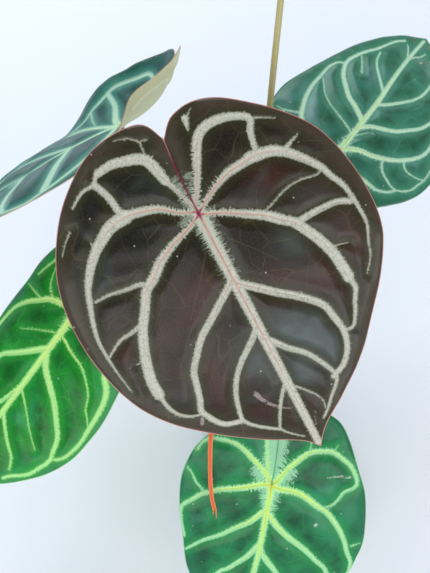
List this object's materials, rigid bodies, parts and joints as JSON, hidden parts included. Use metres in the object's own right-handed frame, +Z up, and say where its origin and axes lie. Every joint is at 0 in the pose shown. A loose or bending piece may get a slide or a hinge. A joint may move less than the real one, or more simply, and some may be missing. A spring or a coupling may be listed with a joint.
{
  "type": "potted anthurium hybrid",
  "caption": "Small aroid house plant in a round nursery pot: heart-shaped, pale-veined leaves on arching stalks, one drying flower stalk and a dry sheath.",
  "frame": {"origin": "middle of the pot's base, on the surface that it stands on", "axes": "+Z up, -Y towards the viewer of the picture, -Z is the outward normal of the pot's base"},
  "size_m": [0.4374, 0.4684, 0.4418],
  "materials": {
    "nursery_pot": "matt moulded polypropylene",
    "bark_mix": "coarse bark with white perlite",
    "crown_stem": "green-brown stem with papery remains",
    "petiole_green": "smooth satin stalk",
    "petiole_bronze": "smooth satin stalk, reddish while young",
    "blade_bronze": "velvety dark bronze lamina with silver veins and pink midlines",
    "blade_green": "satin green lamina with mint veins",
    "blade_teal": "satin blue-green lamina with mint veins",
    "flower_stalk": "drying olive to tan stalk",
    "dry_sheath": "thin orange-red dry sheath"
  },
  "bodies": {
    "root": {"pot": "nursery_pot", "potting_mix": "bark_mix", "crown": "crown_stem", "petiole_main": "petiole_bronze", "blade_main": "blade_bronze", "petiole_front": "petiole_green", "blade_front": "blade_green", "petiole_left": "petiole_green", "blade_left": "blade_green", "petiole_right": "petiole_green", "blade_right": "blade_teal", "petiole_back": "petiole_green", "blade_back": "blade_teal", "flower_stalk": "flower_stalk", "cataphyll": "dry_sheath"}
  },
  "joints": []
}
